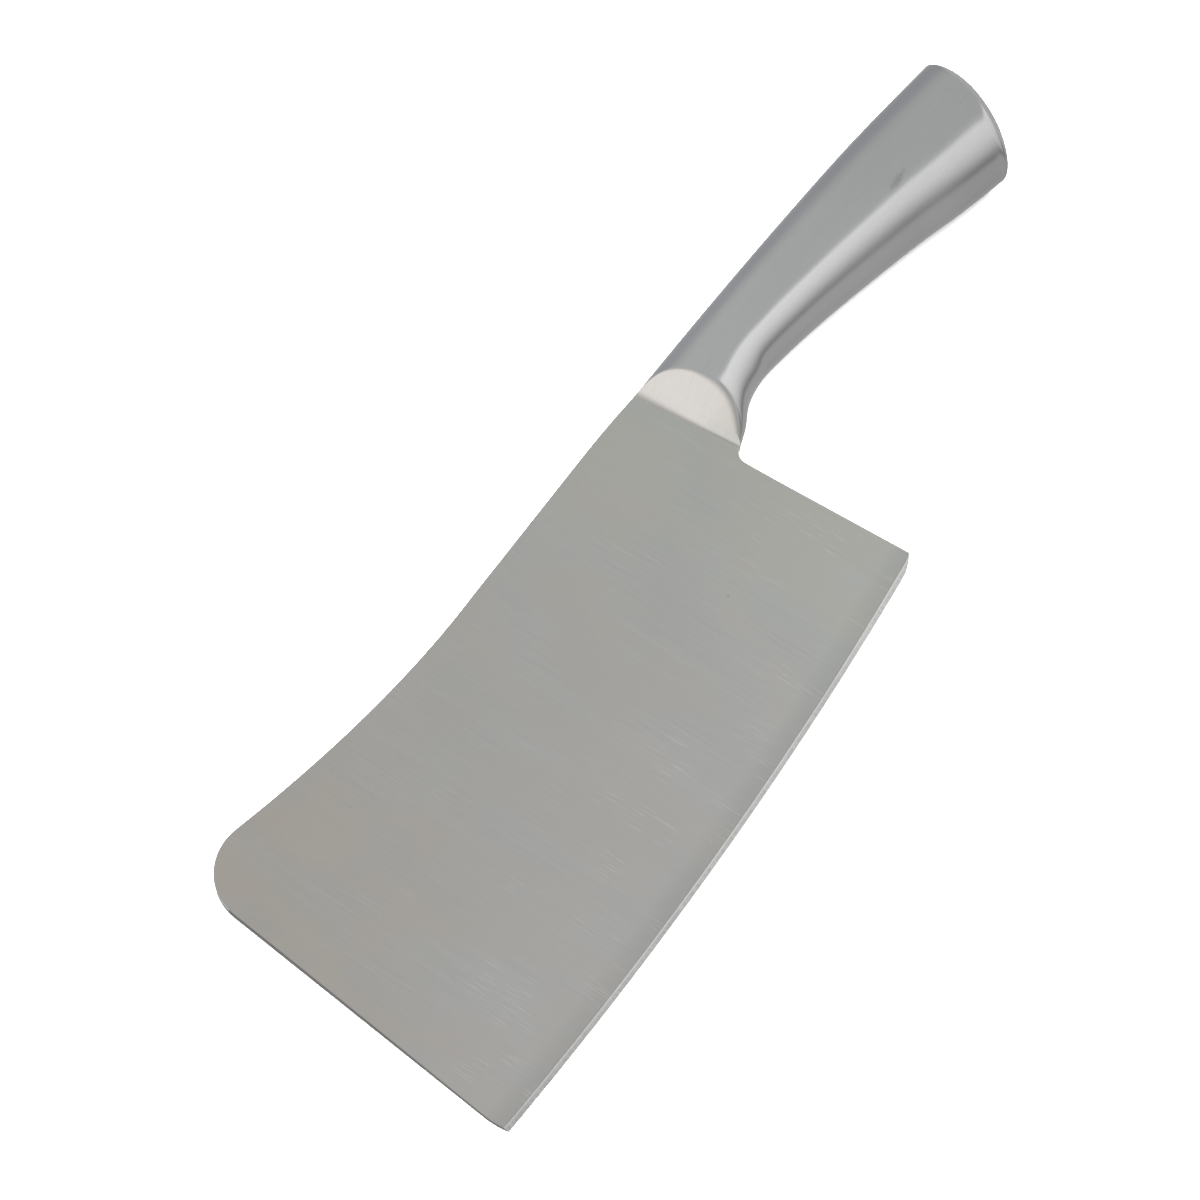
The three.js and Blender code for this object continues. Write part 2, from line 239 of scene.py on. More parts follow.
class Skin:
    """Faces with a normal at each corner, joined into one mesh where their corners meet."""

    def __init__(self):
        self.faces, self.normals, self.kinds = [], [], []

    def polygon(self, points, normals, kind=0):
        points = np.asarray(points, float)
        normals = np.broadcast_to(np.asarray(normals, float), points.shape)
        keep = np.linalg.norm(points - np.roll(points, 1, axis=0), axis=1) > SAME_POINT
        if keep.sum() > 2:
            self.faces.append(points[keep])
            self.normals.append(normals[keep])
            self.kinds.append(kind)

    def grid(self, points, normals, kind=0):
        """A grid whose faces point the way of normals."""
        normals = np.broadcast_to(normals, points.shape)
        cross = np.cross(points[1:, :-1] - points[:-1, :-1], points[:-1, 1:] - points[:-1, :-1])
        flip = (cross * normals[:-1, :-1]).sum() < 0
        for i in range(points.shape[0] - 1):
            for j in range(points.shape[1] - 1):
                corners = [(i, j), (i + 1, j), (i + 1, j + 1), (i, j + 1)]
                if flip:
                    corners.reverse()
                self.polygon([points[c] for c in corners], [normals[c] for c in corners], kind)

    def mirrored(self):
        """Adds the same faces on the other side of z = 0."""
        turn = np.array([1, 1, -1])
        for face, normal, kind in list(zip(self.faces, self.normals, self.kinds)):
            self.polygon(face[::-1] * turn, normal[::-1] * turn, kind)

    def build(self, name, *materials):
        corners = np.concatenate(self.faces)
        _, first, index = np.unique(np.round(corners, 4), axis=0, return_index=True, return_inverse=True)
        index = index.reshape(-1)
        faces, normals, kinds, at = [], [], [], 0
        for face, normal, kind in zip(self.faces, self.normals, self.kinds):
            ids = index[at:at + len(face)].tolist()
            at += len(face)
            keep = [k for k in range(len(ids)) if ids[k] != ids[k - 1]]
            if len(keep) > 2:
                faces.append([ids[k] for k in keep])
                normals.extend(normal[k] for k in keep)
                kinds.append(kind)
        mesh = bpy.data.meshes.new(name)
        mesh.from_pydata([tuple(PLACE @ Vector(p)) for p in corners[first]], [], faces)
        for material in materials:
            mesh.materials.append(material)
        mesh.polygons.foreach_set("material_index", kinds)
        mesh.polygons.foreach_set("use_smooth", [True] * len(faces))
        mark_sharp(mesh, unit(np.array(normals)))
        turn = np.array(PLACE.to_3x3().normalized())
        mesh.normals_split_custom_set((unit(np.array(normals)) @ turn.T).tolist())
        mesh.update()
        piece = bpy.data.objects.new(name, mesh)
        bpy.context.scene.collection.objects.link(piece)
        return piece


# ---- Outline helpers ------------------------------------------------------------------------------------------

def arc_corner(before, corner, after, radius, count):
    """Points round a corner's rounding, from the side of before to the side of after."""
    before, corner, after = (np.array(p, float) for p in (before, corner, after))
    inward, outward = unit(before - corner), unit(after - corner)
    half = math.acos(float(inward @ outward)) / 2
    centre = corner + unit(inward + outward) * radius / math.sin(half)
    start = corner + inward * radius / math.tan(half) - centre
    end = corner + outward * radius / math.tan(half) - centre
    a0, a1 = math.atan2(start[1], start[0]), math.atan2(end[1], end[0])
    a1 += 2 * math.pi * round((a0 - a1) / (2 * math.pi))
    a = np.linspace(a0, a1, count)
    return centre + radius * np.stack([np.cos(a), np.sin(a)], -1)


def bezier(a, b, c, count):
    t = np.linspace(0, 1, count)[:, None]
    return np.array(a) * (1 - t) ** 2 + 2 * np.array(b) * t * (1 - t) + np.array(c) * t**2


def line(a, b, count):
    return np.linspace(np.array(a, float), np.array(b, float), count)


# ---- Placing: the knife lies on its handle and on its toe -----------------------------------------------------

def lie_angle():
    share = np.arange(FACETS_END, 1.001, 0.02)
    middle = (side_point(SPINE_SIDE, share) + side_point(BELLY_SIDE, share)) / 2
    return float(np.arctan2(half_thickness(share) - SPINE_HALF, middle[:, 0] - TIP_END_X).max())


TURN = Matrix.Rotation(-lie_angle(), 4, "Y")
SPINE_FLARE, TOE_TOP, TOE = (-149.4, 44.0), (-167.0, 48.6), np.array([-177.5, -62.0])
TIP_SLOPE = (TOE_TOP[0] - TOE[0]) / (TOE_TOP[1] - TOE[1])
TOE_TIP_X = -176.8


def edge_y(x):
    return EDGE_MID[1] + EDGE_RADIUS - np.sqrt(EDGE_RADIUS**2 - (x - EDGE_MID[0]) ** 2)


def edge_distance(p):
    return EDGE_RADIUS - np.hypot(p[..., 0] - EDGE_MID[0], p[..., 1] - EDGE_MID[1] - EDGE_RADIUS)


# The toe is the knife's furthest point along -X, and the blade node's box says where that is.
toe_tip = np.array([TOE[0] + (edge_y(TOE_TIP_X) - TOE[1]) * TIP_SLOPE, edge_y(TOE_TIP_X), 0])
blade_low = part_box("blade")[0]
around = TURN @ Vector(toe_tip)
resting = arc_corner(SPINE_FLARE, TOE_TOP, TOE, TOE_TOP_RADIUS, 65)
resting = np.column_stack([resting, -plate_half(resting[:, 1])]) @ np.array(TURN.to_3x3()).T
SHIFT = Vector((blade_low.x * 1000 - around.x, blade_low.y * 1000 - EDGE_MID[1],
                blade_low.z * 1000 - resting[:, 2].min()))
PLACE = Matrix.Scale(0.001, 4) @ Matrix.Translation(SHIFT) @ TURN


# ---- Materials ----------------------------------------------------------------------------------------------

class Nodes:
    """Short-hand for building a node tree. An input is given by name, or as i0, i1 ... by number."""

    def __init__(self, tree):
        self.tree = tree
        tree.nodes.clear()

    def add(self, kind, settings=None, **inputs):
        node = self.tree.nodes.new(kind)
        for key, value in (settings or {}).items():
            setattr(node, key, value)
        for key, value in inputs.items():
            by_number = key[0] == "i" and key[1:].isdigit()
            socket = node.inputs[int(key[1:])] if by_number else node.inputs[key.replace("_", " ")]
            if isinstance(value, bpy.types.NodeSocket):
                self.tree.links.new(value, socket)
            else:
                socket.default_value = value
        return node

    def math(self, operation, a, b=0.0, c=0.0, clamp=False):
        return self.add("ShaderNodeMath", {"operation": operation, "use_clamp": clamp}, i0=a, i1=b, i2=c).outputs[0]

    def dot(self, a, b):
        return self.add("ShaderNodeVectorMath", {"operation": "DOT_PRODUCT"}, i0=a, i1=b).outputs["Value"]

    def band(self, value, low, high, out_low=0.0, out_high=1.0):
        settings = {"interpolation_type": "SMOOTHSTEP"}
        node = self.add("ShaderNodeMapRange", settings, i0=value, i1=low, i2=high, i3=out_low, i4=out_high)
        return node.outputs[0]

    def noise(self, place, scale, detail=2.0, roughness=0.5):
        return self.add("ShaderNodeTexNoise", None, Vector=place, Scale=scale, Detail=detail,
                        Roughness=roughness).outputs["Fac"]

    def stretched(self, place, scale):
        return self.add("ShaderNodeVectorMath", {"operation": "MULTIPLY"}, i0=place, i1=scale).outputs[0]

    def along(self, place, way):
        """How far a point lies along one of the knife's own directions, in millimetres."""
        way = TURN.to_3x3() @ Vector(way)
        return self.math("MULTIPLY_ADD", self.dot(place, tuple(way)), 1000.0, -SHIFT.dot(way))

    def gap(self, place, centre, size):
        """Distance from the middle of an oval, as a share of its half widths."""
        offset = [self.math("DIVIDE", self.math("SUBTRACT", self.along(place, way), c), r)
                  for way, c, r in zip(((1, 0, 0), (0, 1, 0)), centre, size)]
        return self.math("SQRT", self.math("ADD", *(self.math("MULTIPLY", o, o) for o in offset)))

    def spot(self, place, centre, size):
        """1 in a ragged oval on the knife's upper side, 0 off it."""
        gap = self.gap(place, centre, size)
        gap = self.math("ADD", gap, self.math("MULTIPLY", self.noise(place, 900.0, 2.0), 0.9))
        return self.math("MULTIPLY", self.band(gap, 1.5, 0.6), self.band(self.along(place, (0, 0, 1)), 0.0, 0.3))

    def mix_colour(self, factor, a, b, blend="MIX"):
        node = self.add("ShaderNodeMix", {"data_type": "RGBA", "blend_type": blend}, Factor=factor)
        for socket, value in ((node.inputs[6], a), (node.inputs[7], b)):
            if isinstance(value, bpy.types.NodeSocket):
                self.tree.links.new(value, socket)
            else:
                socket.default_value = value
        return node.outputs[2]


def opaque(r, g, b):
    return (r, g, b, 1.0)


ROUGHNESS_SPREAD = 0.05
WARM_TINT = (1.0, 0.955, 0.915)
# Painted shade: the faint dark line along the fillet's foot.
PAINTED_SHADE_FRONT, PAINTED_SHADE_BACK = (-2.9, -1.7), (-0.2, -1.6)  # where it fades in, from the blade and from the facet
PAINTED_SHADE_RISE = (3.0, 27.0)  # it is faint by the belly and full by the spine
PLATE_TONE, PLATE_TONE_FROM = opaque(0.585, 0.578, 0.558), (-0.6, -2.2)
BEVEL_SIDE_TINT, BEVEL_SIDE = opaque(0.89, 0.905, 0.905), (8.0, 1.5)  # it deepens between these gaps to the edge
SCRATCH_TONE, SPECK_TONE = opaque(0.80, 0.78, 0.75), opaque(0.80, 0.79, 0.77)
SCRATCH_ZONE = (0.0, -0.03)  # scratches grow more frequent between these, in metres along Y


def stained(n, place, colour, light, amount):
    """Broad, faint stains that are warmer than the steel."""
    stain = n.noise(n.stretched(place, (1.0, 0.7, 1.0)), 62.0, 2.0)
    hot = opaque(*(c * t for c, t in zip(light, WARM_TINT)))
    return n.mix_colour(n.math("MULTIPLY", n.band(stain, 0.42, 0.6), amount), colour, hot)


def fillet_foot_shade_and_tone(n, place, colour, dark, amount):
    """The fillet's foot: a faint line of painted shade, standing in for the darker surroundings that the hollow
    fillet mirrors, and the blade's own tone in front of it.
    """
    x = n.math("SUBTRACT", n.along(place, (LEAN_COS, LEAN_SIN, 0)), SHOULDERS_X * LEAN_COS)
    y = n.along(place, (0, 1, 0))
    foot_shade = n.math("MULTIPLY", n.band(x, *PAINTED_SHADE_FRONT), n.band(x, *PAINTED_SHADE_BACK))
    foot_shade = n.math("MULTIPLY", n.math("MULTIPLY", foot_shade, n.band(y, *PAINTED_SHADE_RISE, 0.25, 1.0)), amount)
    colour = n.mix_colour(foot_shade, colour, opaque(*(c * 0.5 for c in dark[:3])))
    return n.mix_colour(n.math("MULTIPLY", n.band(x, *PLATE_TONE_FROM), 0.8), colour, PLATE_TONE)


def ground(n, place, colour, grain, amount):
    """A darker band beside the bevel, specks, and short scratches, most of them near the edge."""
    middle = (EDGE_MID[0], EDGE_MID[1] + EDGE_RADIUS)
    from_middle = n.gap(place, middle, (EDGE_RADIUS, EDGE_RADIUS))
    by_bevel = n.band(from_middle, *(1 - gap / EDGE_RADIUS for gap in BEVEL_SIDE))
    colour = n.mix_colour(by_bevel, colour, BEVEL_SIDE_TINT, "MULTIPLY")
    fine = n.noise(n.stretched(place, (grain[0] * 1.4, grain[1] * 2.6, grain[2])), 1.0, 1.0)
    patches = n.noise(n.stretched(place, (70.0, 45.0, 1.0)), 1.0, 2.0)
    edge_zone = n.band(n.dot(place, (0.0, 1.0, 0.0)), *SCRATCH_ZONE)
    strokes = n.math("MULTIPLY", n.band(fine, 0.58, 0.68), n.band(patches, 0.48, 0.62))
    strokes = n.math("MULTIPLY", strokes, n.math("MULTIPLY_ADD", edge_zone, 0.75, 0.25))
    colour = n.mix_colour(n.math("MULTIPLY", strokes, amount), colour, SCRATCH_TONE)
    specks = n.band(n.noise(place, 1900.0, 0.0), 0.80, 0.85)
    return n.mix_colour(n.math("MULTIPLY", specks, 0.2), colour, SPECK_TONE), strokes


def steel(name, tones, roughness, grain, depth, cloud=0.35, warm=0.0, foot_shade=0.0, scratches=0.0, painted_light_and_tone_drifts=(), spots=()):
    """Satin steel between a light and a dark tone. grain is how fast its ground lines change along X, Y and Z
    per metre, and depth how deep they are. A foot amount paints a faint line of shade along the fillet's foot.
    A drift tints it gradually from one distance along a way to another, as painted light and shade, and on the
    blade also as a warmer toe, and a spot darkens an oval."""
    material = bpy.data.materials.new(name)
    material.use_nodes = True
    n = Nodes(material.node_tree)
    light, dark = (opaque(*tone) for tone in tones)
    place = n.add("ShaderNodeTexCoord").outputs["Object"]
    lines = n.noise(n.stretched(place, grain), 1.0, 3.0, 0.6)
    broad = n.noise(n.stretched(place, tuple(g * 0.12 for g in grain)), 1.0, 2.0)
    clouds = n.noise(place, 38.0, 3.0)
    tone = n.math("ADD", n.math("MULTIPLY", lines, 0.45), n.math("MULTIPLY", broad, 0.2))
    tone = n.math("ADD", tone, n.math("MULTIPLY", clouds, cloud))
    colour = n.mix_colour(n.band(tone, 0.2, 0.8), dark, light)
    if warm:
        colour = stained(n, place, colour, light[:3], warm)
    # Painted shade along the fillet's foot, and the blade's own tone in front of it.
    if foot_shade:
        colour = fillet_foot_shade_and_tone(n, place, colour, dark, foot_shade)
    for way, start, end, tint in painted_light_and_tone_drifts:
        colour = n.mix_colour(n.band(n.along(place, way), start, end), colour, opaque(*tint), "MULTIPLY")
    for centre, size, tint in spots:
        colour = n.mix_colour(n.spot(place, centre, size), colour, opaque(tint, tint, tint), "MULTIPLY")
    height = lines
    if scratches:
        colour, strokes = ground(n, place, colour, grain, scratches)
        height = n.math("ADD", lines, n.math("MULTIPLY", strokes, 0.6))
    uneven = n.math("ADD", n.math("MULTIPLY", clouds, 0.5), n.math("MULTIPLY", lines, 0.5))
    rough = n.math("ADD", roughness - ROUGHNESS_SPREAD / 2, n.math("MULTIPLY", uneven, ROUGHNESS_SPREAD))
    bump = n.add("ShaderNodeBump", None, Strength=depth, Distance=0.00002, Height=height).outputs[0]
    shader = n.add("ShaderNodeBsdfPrincipled", None, Metallic=1.0, Base_Color=colour, Roughness=rough, Normal=bump)
    n.tree.links.new(shader.outputs[0], n.add("ShaderNodeOutputMaterial").inputs[0])
    return material


PIT = ((-34.8, -19.6), (0.6, 0.5), 0.82)
# A faint dark oval on the handle.
HANDLE_DARK_SPOT = ((83.5, 6.3), (4.2, 1.3), 0.8)
# Painted reflected light: the blade lighter and cooler towards the heel and towards the edge; it is also warmer
# towards the toe.
BLADE_LIGHT_AND_TONE_DRIFTS = (((-0.55, 0.83, 0), 55, 130, (0.992, 0.958, 0.918)), ((1, 0, 0), -80, -10, (1.01, 1.035, 1.02)),
                ((0, 1, 0), 5, -40, (1.025, 1.025, 1.035)))
# Painted shade: the handle darker towards the butt.
HANDLE_PAINTED_SHADE_DRIFTS = (((1, 0, 0), 0, 116, (0.885, 0.88, 0.885)),)
# Painted shade: the facet darker towards the belly.
FACET_PAINTED_SHADE_DRIFTS = (((0, 1, 0), 15, 2, (0.87, 0.875, 0.87)),)
HANDLE_TONES = ((0.632, 0.636, 0.634), (0.584, 0.59, 0.588))
FACET_TONES = ((0.645, 0.63, 0.617), (0.57, 0.56, 0.548))
LINE_GRAIN, FACET_GRAIN = (1800, 300, 300), (260, 1700, 260)

blade_steel = steel("blade_steel", ((0.597, 0.59, 0.572), (0.548, 0.543, 0.527)), 0.26, (2600, 45, 2600), 0.15,
                    warm=0.6, scratches=0.32, painted_light_and_tone_drifts=BLADE_LIGHT_AND_TONE_DRIFTS, spots=(PIT,))
# Painted shade: the plate's side walls and the tip's end are rougher than the plate, and they are painted far darker
# to stand in for the shaded floor they mirror.
painted_shade_wall_steel = steel("painted_shade_wall_steel", ((0.27, 0.265, 0.26), (0.20, 0.198, 0.193)), 0.40, (900, 900, 5200), 0.5)
bevel_steel = steel("bevel_steel", ((0.80, 0.80, 0.79), (0.46, 0.46, 0.45)), 0.24, (2200, 500, 500), 0.4, cloud=0.2)
# Painted highlight: lighter steel on the plate's rounded edges along the spine and on the bevel's upper strips.
highlight_steel = steel("highlight_steel", ((0.70, 0.70, 0.69), (0.54, 0.54, 0.53)), 0.22, LINE_GRAIN, 0.2)
# Painted highlight: much lighter steel on the heel's rounded edges.
heel_highlight_steel = steel("heel_highlight_steel", ((0.90, 0.90, 0.89), (0.78, 0.78, 0.77)), 0.22, LINE_GRAIN, 0.2)
burr_steel = steel("burr_steel", ((0.46, 0.455, 0.445), (0.36, 0.355, 0.35)), 0.3, LINE_GRAIN, 0.2)
handle_steel = steel("handle_steel", HANDLE_TONES, 0.085, (90, 1500, 1500), 0.12, cloud=0.5, painted_light_and_tone_drifts=HANDLE_PAINTED_SHADE_DRIFTS,
                     spots=(HANDLE_DARK_SPOT,))
facet_steel = steel("facet_steel", FACET_TONES, 0.25, FACET_GRAIN, 0.1, cloud=0.5, warm=0.3, painted_light_and_tone_drifts=FACET_PAINTED_SHADE_DRIFTS)
fillet_steel = steel("fillet_steel", FACET_TONES, 0.27, FACET_GRAIN, 0.03, cloud=0.5, foot_shade=0.1, painted_light_and_tone_drifts=FACET_PAINTED_SHADE_DRIFTS)
weld_steel = steel("weld_steel", HANDLE_TONES, 0.085, (300, 1500, 1500), 0.12, cloud=0.5, painted_light_and_tone_drifts=HANDLE_PAINTED_SHADE_DRIFTS)


# ---- Blade ----------------------------------------------------------------------------------------------------

SPINE_END = (SHOULDERS_X - 29.6 * math.tan(SHOULDERS_LEAN), 29.6)
BELLY_END = (SHOULDERS_X - 0.02, 0.3)
CHOIL = (-2.1, -0.5)
TIP_EXTRA = 0.3  # the ground end of the tip stands this much proud of the plate's nominal outline
TOE_WEAR, WEAR_Y, WEAR_LENGTH = 0.9, -44.5, 6.5  # how far the toe's lower corner is worn back, and from where
HEEL_LOW, HEEL_CURVE = (-0.1, -47.5), ((-5.6, -52.35), (-2.0, -51.45), (0.05, -50.1))
SPINE_MIDDLE, SPINE_BEND = (-70, 32.35), (-106, 32.6)
TIP_X, HEEL_X = -168.5, -8.0  # the tip's end lies beyond the first, the heel behind the second
ROUNDING_AT, ROUNDING = (-171, -165, -150), (0.32, 0.1, 0.18)  # the rounding of the plate's corners, along X
HEEL_ROUNDING = 0.14  # added to it by the heel
TIP_POINTS, BEVEL_POINTS = 130, 120
BEVEL_STRIPS = (0, 0.35, 0.68, 0.72, 1)  # from the edge to the bevel's shoulder
BEVEL_LEANS = (15.5, 14.5, 12, 7)  # how each strip's polish leans outwards, in degrees
BURR_WIDTH = 0.16
PLAIN, WALL_SIDE, GROUND, HIGHLIGHT, BURR, HEEL_HIGHLIGHT = range(6)  # the blade's materials in order
SPINE_CURVE = bezier(SPINE_END, (-10, 30.8), (-25, 31.2), 60)
FRONT_LOW = np.array(BELLY_END) + unit(np.array(BELLY_END) - CHOIL) * WELD_FRONT[0]
FRONT_HIGH = np.array([np.interp(-WELD_FRONT[1], -behind(SPINE_CURVE), SPINE_CURVE[:, i]) for i in (0, 1)])


def blade_outline():
    """The plate's outline from the heel's corner up round the choil and the spine to the toe's corner."""
    choil_arc = arc_corner(HEEL_LOW, CHOIL, BELLY_END, CHOIL_RADIUS, 17)
    spine_curve = SPINE_CURVE[behind(SPINE_CURVE) < WELD_FRONT[1] - 0.2]
    toe_end = TOE - [TIP_EXTRA, 0]
    toe_arc = arc_corner(SPINE_FLARE, np.array(TOE_TOP) - [TIP_EXTRA, 0], toe_end, TOE_TOP_RADIUS, 33)
    tip_end = line(toe_arc[-1], toe_end, 400)
    tip_end[:, 0] += TOE_WEAR * np.clip((WEAR_Y - tip_end[:, 1]) / WEAR_LENGTH, 0, None) ** 2
    heel_curve = bezier(*HEEL_CURVE, 41)
    parts = [heel_curve, line(heel_curve[-1], choil_arc[0], 12)[1:-1], choil_arc, FRONT_LOW, FRONT_HIGH,
             spine_curve, line(spine_curve[-1], SPINE_MIDDLE, 6)[1:],
             bezier(SPINE_MIDDLE, SPINE_BEND, SPINE_FLARE, 40)[1:-1], toe_arc]
    return np.concatenate([np.reshape(p, (-1, 2)) for p in parts]), tip_end


def clip_to_edge(path, from_start):
    """Cuts a path where it meets the cutting edge, and puts points where the bevel starts."""
    path = path if from_start else path[::-1]
    height = edge_distance(path)
    i = int(np.argmax(height > 0))
    w = -height[i - 1] / (height[i] - height[i - 1])
    path = np.concatenate([[path[i - 1] + (path[i] - path[i - 1]) * w], path[i:]])
    above = edge_distance(path) * BEVEL - plate_half(path[:, 1])
    j = int(np.argmax(above > 0))
    w = -above[j - 1] / (above[j] - above[j - 1])
    shoulder = path[j - 1] + (path[j] - path[j - 1]) * w
    path = np.concatenate([path[:j], [shoulder], path[j:]])
    return (path, j) if from_start else (path[::-1], len(path) - 1 - j)


def blade():
    skin = Skin()
    path, tip_end = blade_outline()
    path, heel_shoulder = clip_to_edge(path, True)
    tip_end, toe_shoulder = clip_to_edge(tip_end, False)
    picked = np.unique(np.linspace(0, toe_shoulder, TIP_POINTS).astype(int))
    tip_end = np.concatenate([tip_end[picked], tip_end[-1:]])
    toe_shoulder = len(picked) - 1
    outline = np.concatenate([path[:-1], tip_end])
    toe_index = len(path) - 1 + toe_shoulder
    tangent = np.zeros_like(outline)
    steps = unit(np.diff(outline, axis=0))
    tangent[1:-1] = unit(steps[1:] + steps[:-1])
    tangent[0], tangent[-1] = steps[0], steps[-1]
    out = np.stack([tangent[:, 1], -tangent[:, 0]], -1)
    height = np.minimum(plate_half(outline[:, 1]), edge_distance(outline) * BEVEL)
    height = np.maximum(height, 0)
    by_heel = (outline[:, 0] > HEEL_X) * ease((-4 - outline[:, 1]) / 6)
    soft = np.interp(outline[:, 0], ROUNDING_AT, ROUNDING) + HEEL_ROUNDING * by_heel
    soft = np.minimum(soft, height * 0.4)
    welded = np.minimum(np.linalg.norm(outline - FRONT_LOW, axis=1), np.linalg.norm(outline - FRONT_HIGH, axis=1))
    soft[welded < 1e-6] = 1e-3
    rings, ring_normals = [], []
    for turn in np.radians([90, 60, 30, 0]):
        flat = outline - out * (soft * (1 - math.cos(turn)))[:, None]
        rings.append(np.column_stack([flat, height - soft + soft * math.sin(turn)]))
        ring_normals.append(np.column_stack([out * math.cos(turn), np.full(len(out), math.sin(turn))]))
    rings.append(rings[-1] * [1, 1, 0])
    ring_normals.append(ring_normals[-1])
    rings, ring_normals = np.array(rings), np.array(ring_normals)
    front = int(np.linalg.norm(outline - FRONT_LOW, axis=1).argmin())
    tip = int((outline[:, 0] < TIP_X).argmax())
    # The plate's rounded edges: a painted highlight from the heel to the front and along the spine, painted shade
    # round the tip's end.
    for first, last, kind in ((0, front, HEEL_HIGHLIGHT), (front, tip, HIGHLIGHT), (tip, len(outline) - 1, WALL_SIDE)):
        skin.grid(rings[:4, first:last + 1], ring_normals[:4, first:last + 1], kind)
    skin.grid(rings[3:], ring_normals[3:], WALL_SIDE)
    inner = rings[0]
    slope = (SPINE_HALF - SHOULDER_HALF) / (SPINE_Y - SHOULDER_Y)
    up = unit(np.array([0, -slope, 1]))
    centre = EDGE_MID + [0, EDGE_RADIUS]
    count = BEVEL_POINTS
    ends = (outline[-1], inner[toe_index]), (outline[0], inner[heel_shoulder])
    share = np.linspace(0, 1, count)[:, None]
    edge_x = (ends[0][0][0] * (1 - share) + ends[1][0][0] * share)[:, 0]
    edge = np.column_stack([edge_x, edge_y(edge_x), np.zeros(count)])
    shoulder_x = (ends[0][1][0] * (1 - share) + ends[1][1][0] * share)[:, 0]
    shoulder = []
    for x in shoulder_x:
        y = edge_y(x) + 1.3
        for _ in range(4):
            y = centre[1] - math.sqrt((EDGE_RADIUS - plate_half(y) / BEVEL) ** 2 - (x - centre[0]) ** 2)
        shoulder.append((x, y, plate_half(y)))
    shoulder = np.array(shoulder)
    shoulder[0], shoulder[-1] = ends[0][1], ends[1][1]
    towards = unit(edge[:, :2] - centre)
    strips = [edge + (shoulder - edge) * w for w in BEVEL_STRIPS]
    for k, (lean, kind) in enumerate(zip(BEVEL_LEANS, (GROUND, GROUND, HIGHLIGHT, HIGHLIGHT))):
        normal = np.column_stack([towards * math.tan(math.radians(lean)), np.ones(count)])
        skin.grid(np.array(strips[k:k + 2]), unit(normal), kind)
    skin.polygon(np.concatenate([[edge[-1]], inner[1:heel_shoulder + 1]]), unit(np.append(towards[-1] * 0.3, 1)),
                 GROUND)
    burr = shoulder[1:-1] - BURR_WIDTH * np.column_stack([towards[1:-1], np.full(count - 2, -slope)])
    skin.grid(np.array([np.vstack([shoulder[:1], burr, shoulder[-1:]]), shoulder]), up, BURR)
    skin.polygon(np.concatenate([inner[heel_shoulder:toe_index + 1], burr]), up, PLAIN)
    skin.mirrored()
    return skin.build("blade_fine", blade_steel, painted_shade_wall_steel, bevel_steel, highlight_steel, burr_steel, heel_highlight_steel)


def tang():
    """The stub of the plate that goes into the handle."""
    skin = Skin()
    low, high, end = 8.0, 24.0, 38.0
    lower = arc_corner((2, low), (end, low), (end, high), 3, 7)
    upper = arc_corner((end, low), (end, high), (2, high), 3, 7)
    outline = np.concatenate([[(2, low)], lower, upper, [(2, high)]])
    top = np.column_stack([outline, plate_half(outline[:, 1])])
    skin.polygon(top, (0, 0, 1))
    for a, b in zip(top, np.roll(top, -1, axis=0)):
        out = unit(np.array([b[1] - a[1], a[0] - b[0], 0]))
        skin.polygon([a, a * [1, 1, 0], b * [1, 1, 0], b], out)
    skin.mirrored()
    return skin.build("tang_fine", blade_steel)


# ---- Bolster and blade weld -------------------------------------------------------------------------------------

def theta_where(height, x, side):
    """The angle at which the handle is this high where it is x behind the shoulders, near spine or belly."""
    low, high = (0.0, math.pi / 2) if side > 0 else (math.pi, math.pi / 2)
    for _ in range(40):
        middle = np.array([(low + high) / 2])
        z = handle_point(share_where(middle, reaches(x)), middle)[0, 2]
        low, high = ((low + high) / 2, high) if z < height else (low, (low + high) / 2)
    return (low + high) / 2


def facet_normal(x, y):
    _, slope = facet_height(x, y)
    slope = RAMP * np.minimum(POLISH_REACH * (slope / RAMP) ** POLISH_POWER, 1)
    return unit(np.stack([-slope * LEAN_COS, -slope * LEAN_SIN, np.ones_like(slope)], -1))


FRONT_X = behind(np.array([FRONT_LOW, FRONT_HIGH]))
ENDS = [theta_where(plate_half(p[1]), x, side) for p, x, side in
        ((FRONT_HIGH, FRONT_X[1], 1), (FRONT_LOW, FRONT_X[0], -1))]
ARCH_POINTS, ARCH_CROWDING = 171, 0.11
WELD_ROWS, WELD_SIDE_ROWS, FACET_ROWS, BOLSTER_ROWS, SIDE_POINTS = 25, 13, 44, 50, 9
MEET_FADE, MEET_REACH = 0.8, 2.2  # how far round the handle, in radians, and how far along it, in millimetres
# How far the rounding reaches over the facet and over the handle, from the spine's end of the arch to the belly's
ARCH_INNER = ((0, 0.3), (0.3, 0.35), (0.42, 0.9), (0.56, 1.5), (0.72, 1.9), (0.88, 1.5), (1, 0.5))
ARCH_OUTER = ((0, 0.2), (0.3, 0.3), (0.42, 0.6), (0.56, 1.5), (0.72, 1.7), (0.88, 1.1), (1, 0.35))


def meet(points, thetas):
    """Moves the front of the handle's surface, one column for each angle, onto the blade's own edge faces."""
    near, far = ENDS
    x = behind(points)
    moved = points.copy()
    for corner, front, theta, fade in (
            (FRONT_HIGH, FRONT_X[1], np.minimum(thetas, near), 1 - ease((thetas - near) / MEET_FADE)),
            (FRONT_LOW, FRONT_X[0], np.maximum(thetas, far), 1 - ease((far - thetas) / MEET_FADE))):
        there = handle_point(share_where(theta, reaches(front)), theta)[:, :2]
        shift = (corner - there) * fade[:, None]
        moved[..., :2] += shift[:, None] * (1 - ease((x - front) / MEET_REACH))[..., None]
    return moved


